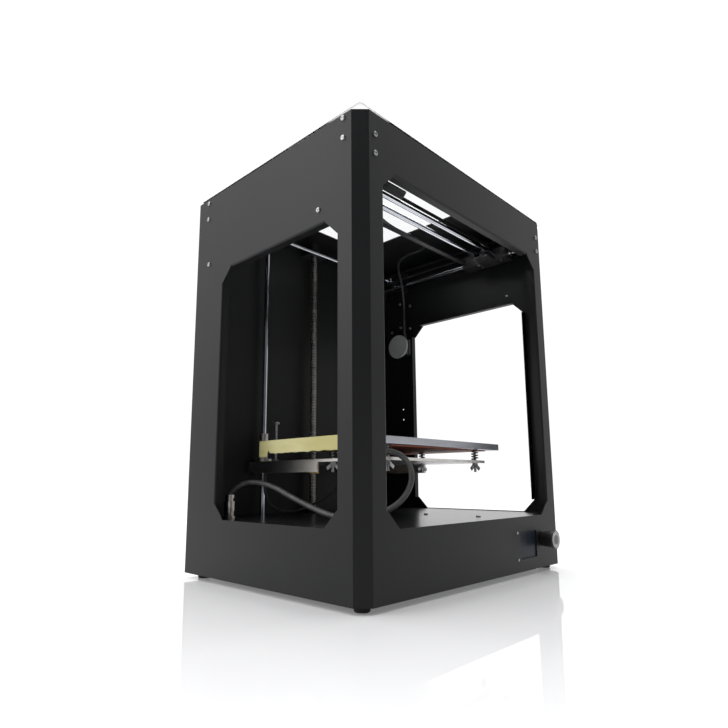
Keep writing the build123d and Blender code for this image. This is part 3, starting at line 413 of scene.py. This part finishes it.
BED_CABLE_D = 8.0
BED_CABLE = [
    (-191.0, 129.0, 117.5), (-184.0, 117.0, 133.0), (-171.0, 94.0, 136.5), (-160.0, 64.0, 129.0),
    (-154.0, 30.0, 114.0), (-153.0, -8.0, 102.0), (-155.0, -48.0, 92.5), (-150.0, -86.0, 89.5),
    (-130.0, -113.0, 96.0), (-105.0, -126.0, 110.0), (-87.0, -130.0, 133.0), (-88.0, -129.0, 157.0),
    (-104.0, -121.0, 173.5), (-126.0, -100.0, 176.3), (-131.0, -70.0, 176.5),
]
SENSOR_LEAD_D = 4.5
SENSOR_LEAD = [
    (-121.0, 138.0, 163.5), (-121.0, 138.0, 141.0), (-123.0, 135.0, 118.0), (-117.0, 126.0, 98.0),
    (-101.0, 114.0, 89.5), (-82.0, 98.0, 91.0), (-62.0, 78.0, 104.0), (-43.0, 60.0, 122.0),
    (-22.0, 47.0, 141.0), (-22.0, 47.0, 163.5),
]
TUBE_D = 4.0
FEED_TUBE = [
    (205.7, 114.0, 433.0), (205.7, 114.0, 466.0), (203.0, 111.5, 499.0), (190.0, 105.0, 529.0),
    (165.0, 93.0, 548.0), (139.0, 73.0, 556.0), (125.0, 43.0, 557.0), (124.0, 10.0, 555.0),
    (112.0, -14.0, 552.5), (84.0, -24.0, 551.0), (48.0, -26.5, 550.6), (12.0, -25.0, 551.5),
    (-24.0, -29.0, 553.5), (-60.0, -41.0, 558.0), (-93.0, -60.0, 562.5), (-120.0, -80.0, 563.5),
    (-138.0, -94.0, 557.0), (-144.0, -99.5, 541.5),
]


def sleeve_radius(diameter, pitch, depth):
    """Radius of a sleeve with a spiral rib."""
    def radius(run, angle):
        wave = math.cos(2 * math.pi * run / pitch + angle)
        return (diameter / 2 - depth * (0.5 - 0.5 * wave) ** 2) * MM
    return radius


def plain_radius(diameter):
    """Radius of a plain round jacket."""
    def radius(run, angle):
        return diameter / 2 * MM
    return radius


def cut_line(line, place):
    """The two parts of a line on either side of the point nearest to a place."""
    near = min(range(len(line)), key=lambda index: (line[index] - at(*place)).length)
    return line[:near + 1], line[near:]


def make_cord(name, node, line, radius, step, material):
    """Cord mesh that replaces its CAD tube."""
    spots, length = even_steps(line, step * MM)
    verts, faces = sweep_mesh(spots, radius, 14)
    cord = new_piece(name, verts, faces, material)
    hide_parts(node)
    return cord


def make_cords():
    """Bed cable, sensor lead and filament tube."""
    sleeve = finish_material("cable_sleeve", grey(0.055), grey(0.10), (0.35, 0.5), patch=60.0)
    jacket = finish_material("lead_jacket", grey(0.045), grey(0.075), (0.35, 0.5), patch=60.0)
    cable = make_cord("bed_cable_sleeve", "bed_cable", route_line("bed_cable", BED_CABLE),
                      sleeve_radius(BED_CABLE_D, 3.2, 0.7), 0.7, sleeve)
    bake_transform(cable)
    lead = make_cord("sensor_lead_jacket", "sensor_lead", route_line("sensor_lead", SENSOR_LEAD),
                     plain_radius(SENSOR_LEAD_D), 2.0, jacket)
    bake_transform(lead)
    make_tube()


TUBE_CLIP = (48.0, -26.5, 550.7)


def make_tube():
    """Filament tube in two lengths, split at the clip on the gantry."""
    rear, front = cut_line(route_line("filament_tube", FEED_TUBE), TUBE_CLIP)
    spans = (("filament_tube_rear", rear, "frame", "gantry", (205.7, 114, 440), (205.7, -20, 440)),
             ("filament_tube_front", front, "gantry", "head", (48, -60, 550), (-138, -60, 550)))
    for name, line, fixed, moving, start, end in spans:
        tube = make_cord(name, "filament_tube", line, plain_radius(TUBE_D), 3.0,
                         MATERIALS["tube"])
        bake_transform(tube)


# ---------------------------------------------------------------- tape, knob face, small screws

PLATE_EDGE_X = -166.5
PLATE_TOP_Z = 195.0
PLATE_FRONT_Y = -112.0
TAPE_FRONT_Y = -111.0
TAPE_LENGTH = 203.0
TAPE_DROP = 19.0
TAPE_ON_TOP = 5.0
TAPE_THICKNESS = 0.00018


def tape_drop(y):
    """How far the tape hangs below the plate's top at one depth, with its loose wavy edge."""
    middle = TAPE_DROP + 1.2 * field.noise(Vector((y * 0.09, 3.1, 0.0)))
    front = -3.0 * max(0.0, 1.0 - (y - PLATE_FRONT_Y) / 30.0)
    flap = 4.5 if 72.0 < y < 92.0 else 0.0
    notch = -5.0 * max(0.0, 1.0 - abs(y - 68.0) / 3.0)
    return middle + front + flap + notch


def tape_section(y):
    """Points across the tape: on the plate, over its edge and down, bulging out at the free edge."""
    drop = tape_drop(y)
    loose = 0.9 + 1.4 * field.noise(Vector((y * 0.045, 9.7, 0.0)))
    points = [(PLATE_EDGE_X + TAPE_ON_TOP * (1.0 - step / 4), PLATE_TOP_Z + 0.12) for step in range(4)]
    points.append((PLATE_EDGE_X - 0.15, PLATE_TOP_Z + 0.05))
    for step in range(1, 11):
        share = step / 10
        slack = loose * max(0.0, share - 0.45) ** 2 * 3.0
        points.append((PLATE_EDGE_X - 0.2 - slack, PLATE_TOP_Z - drop * share))
    return points


def make_tape():
    """Strip of masking tape folded over the left edge of the plate."""
    rows = 130
    verts, faces = [], []
    for row in range(rows):
        y = TAPE_FRONT_Y + TAPE_LENGTH * row / (rows - 1)
        section = tape_section(y)
        verts += [at(x, y, z) for x, z in section]
    across = len(tape_section(0.0))
    for row in range(rows - 1):
        for step in range(across - 1):
            a = row * across + step
            faces.append((a, a + 1, a + across + 1, a + across))
    mat, tree, shader = blank_material("masking_tape")
    broad = pattern(tree, 30.0, (1, 0.3, 1))
    crepe = pattern(tree, 900.0, (1, 0.25, 1))
    colour = two_tones(tree, broad, (0.56, 0.50, 0.20), (0.72, 0.67, 0.36))
    tree.links.new(colour, shader.inputs["Base Color"])
    shader.inputs["Roughness"].default_value = 0.62
    shader.inputs["Subsurface Weight"].default_value = 0.08
    add_bump(tree, shader, crepe, 0.00012)
    tape = new_piece("bed_edge_tape", verts, faces, mat)
    thick = tape.modifiers.new("thick", "SOLIDIFY")
    thick.thickness = TAPE_THICKNESS
    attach(tape, "bed")


def disc(name, centre, radius, depth, material, axis, body, sides=48):
    """Round plate, its axis along x, y or z."""
    verts, faces = [], []
    turn = {"x": (1, 2, 0), "y": (2, 0, 1), "z": (0, 1, 2)}[axis]
    for level in (-depth / 2, depth / 2):
        for side in range(sides):
            angle = 2 * math.pi * side / sides
            spot = [0.0, 0.0, 0.0]
            spot[turn[0]] = radius * math.cos(angle)
            spot[turn[1]] = radius * math.sin(angle)
            spot[turn[2]] = level
            verts.append(at(*(c + p for c, p in zip(centre, spot))))
    faces.append(tuple(reversed(range(sides))))
    faces.append(tuple(range(sides, 2 * sides)))
    for side in range(sides):
        ahead = (side + 1) % sides
        faces.append((side, ahead, ahead + sides, side + sides))
    piece = new_piece(name, verts, faces, material, smooth=False)
    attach(piece, body)
    return piece


def make_knob_face():
    """Brushed inlay in the knob's face, with a duller middle."""
    brushed = finish_material("knob_inlay", grey(0.30), grey(0.40), (0.30, 0.42), patch=200.0,
                              stretch=(1, 1, 0.1), metallic=0.8)
    dull = finish_material("knob_middle", grey(0.10), grey(0.14), (0.4, 0.5))
    disc("knob_inlay", (167.4, -200.1, 48.5), 12.2, 0.3, brushed, "y", "knob")
    disc("knob_middle", (167.4, -200.35, 48.5), 7.0, 0.2, dull, "y", "knob")


CARRIAGE_SCREWS = [(183.0, -79.5), (196.0, -79.5), (189.5, -120.0)]


def make_gantry_fittings():
    """Cap screws under the right side carriage, and the clip that holds the filament tube."""
    for index, (x, y) in enumerate(CARRIAGE_SCREWS):
        place = (x, y, 518.6)
        disc(f"carriage_screw_{index}", place, 2.7, 2.6, MATERIALS["screw_head"], "z", "gantry", 24)
    disc("tube_clip", TUBE_CLIP, 3.4, 4.0, MATERIALS["bracket"], "x", "gantry", 24)


make_camera()
make_stage()
dress_nodes()
make_cords()
make_tape()
make_knob_face()
make_gantry_fittings()
